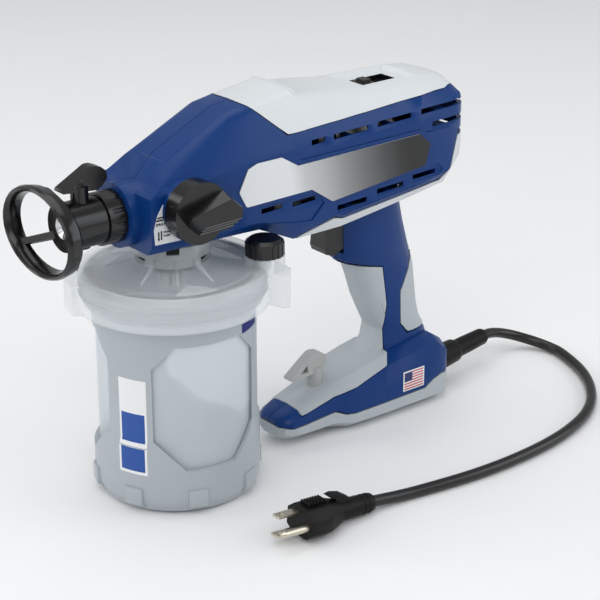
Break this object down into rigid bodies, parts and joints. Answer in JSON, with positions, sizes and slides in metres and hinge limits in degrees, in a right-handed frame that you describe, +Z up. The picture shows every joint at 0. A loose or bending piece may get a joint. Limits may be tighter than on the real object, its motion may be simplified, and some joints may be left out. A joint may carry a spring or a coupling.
{
  "type": "handheld airless paint sprayer",
  "caption": "Handheld airless paint sprayer with a turning spray tip in a ringed guard, a screw-on paint cup with liner, a trigger, a prime knob and a mains lead.",
  "frame": {"origin": "centre of the paint cup's flat foot, on the surface it stands on", "axes": "-X where the nozzle points, +Z up the cup's axis, +Y to the side away from the prime knob"},
  "size_m": [0.4353, 0.1922, 0.2533],
  "materials": {
    "blue_shell": "glossy moulded blue plastic",
    "white_shell": "satin moulded off-white plastic",
    "grey_grip": "matt soft grip",
    "panel": "bare printed-panel plastic",
    "steel": "turned steel",
    "iron_core": "laminated core",
    "bronze": "sintered bearing",
    "alloy": "die-cast alloy",
    "black_plastic": "satin black plastic",
    "white_plastic": "satin white plastic",
    "grey_plastic": "satin grey plastic",
    "clear_plastic": "translucent frosted plastic",
    "gasket_rubber": "soft foam",
    "liner_film": "thin translucent liner",
    "smoke_plastic": "translucent grey plastic",
    "black_rubber": "satin black rubber",
    "plated_brass": "nickel-plated brass"
  },
  "bodies": {
    "housing": {"housing_left": "blue_shell", "housing_right": "blue_shell", "top_cover": "white_shell", "underside_trim": "white_shell", "front_grip": "grey_grip", "rear_grip": "grey_grip", "base_bumper": "grey_grip", "label_panel": "panel", "selector_plate": "panel", "housing_screws": "steel", "motor_stator": "iron_core", "brush_holders": "black_plastic", "front_bearing": "steel", "rear_bearing": "steel", "gear_bearing": "bronze", "gear_bracket": "alloy", "piston_spring": "steel", "pump_block": "alloy", "inlet_fitting": "black_plastic", "inlet_filter": "white_plastic", "outlet_fitting": "steel", "trigger_switch": "black_plastic", "speed_control": "black_plastic", "strain_relief": "black_rubber", "cord": "black_rubber", "plug_body": "black_rubber", "plug_blades": "plated_brass", "ground_pin": "plated_brass"},
    "piston": {"piston": "steel"},
    "armature": {"armature": "iron_core", "motor_pinion": "steel", "cooling_fan": "black_plastic"},
    "gear": {"drive_gear": "steel", "cam_shaft": "steel"},
    "trigger": {"trigger": "black_plastic"},
    "knob": {"prime_knob": "black_plastic", "prime_stem": "steel"},
    "slider": {"speed_slider": "black_plastic"},
    "nut": {"retaining_nut": "black_plastic"},
    "guard": {"tip_guard": "black_plastic", "tip_seat": "steel"},
    "tip": {"spray_tip": "black_plastic"},
    "spare_tip": {"spare_tip": "grey_plastic"},
    "cover": {"cup_cover": "clear_plastic", "cover_gasket": "gasket_rubber", "valve_stem": "white_plastic"},
    "cup": {"cup_support": "smoke_plastic", "cup_liner": "liner_film"},
    "cap": {"valve_cap": "black_plastic"}
  },
  "joints": [
    {"name": "trigger_pull", "type": "slide", "parent": "housing", "child": "trigger", "axis": [1, 0, 0], "range_m": [0, 0.008], "stiffness_N_per_m": 250, "springref_m": -0.004},
    {"name": "knob_turn", "type": "hinge", "parent": "housing", "child": "knob", "pos_m": [-0.01, -0.035, 0.198], "axis": [0, 1, 0], "range_deg": [0, 90]},
    {"name": "guard_turn", "type": "hinge", "parent": "housing", "child": "guard", "pos_m": [-0.065, 0, 0.1915], "axis": [1, 0, 0], "range_deg": [-90, 90]},
    {"name": "tip_turn", "type": "hinge", "parent": "guard", "child": "tip", "pos_m": [-0.0655, 0, 0.1915], "axis": [0, 0, 1], "range_deg": [0, 180]},
    {"name": "nut_turn", "type": "hinge", "parent": "housing", "child": "nut", "pos_m": [-0.048, 0, 0.1915], "axis": [1, 0, 0], "continuous": true},
    {"name": "speed_slide", "type": "slide", "parent": "housing", "child": "slider", "axis": [1, 0, 0], "range_m": [0, 0.014]},
    {"name": "spare_tip_pull", "type": "slide", "parent": "housing", "child": "spare_tip", "axis": [0, 0, 1], "range_m": [0, 0.025]},
    {"name": "cover_turn", "type": "hinge", "parent": "housing", "child": "cover", "pos_m": [0, 0, 0.151], "axis": [0, 0, 1], "range_deg": [-50, 0]},
    {"name": "cup_turn", "type": "hinge", "parent": "cover", "child": "cup", "pos_m": [0, 0, 0.13], "axis": [0, 0, 1], "range_deg": [0, 90]},
    {"name": "cap_turn", "type": "hinge", "parent": "cover", "child": "cap", "pos_m": [0.04405, -0.03696, 0.1567], "axis": [0, 0, 1], "continuous": true},
    {"name": "armature_spin", "type": "hinge", "parent": "housing", "child": "armature", "pos_m": [0.136, 0, 0.206], "axis": [1, 0, 0], "continuous": true},
    {"name": "gear_spin", "type": "hinge", "parent": "housing", "child": "gear", "pos_m": [0.09, 0, 0.18505], "axis": [1, 0, 0], "continuous": true},
    {"name": "piston_stroke", "type": "slide", "parent": "housing", "child": "piston", "axis": [0, 0, -1], "range_m": [0, 0.007], "deforming": ["piston_spring"]}
  ],
  "couplings": [
    {"joint": "gear_spin", "follows": "armature_spin", "ratio": -0.3}
  ]
}
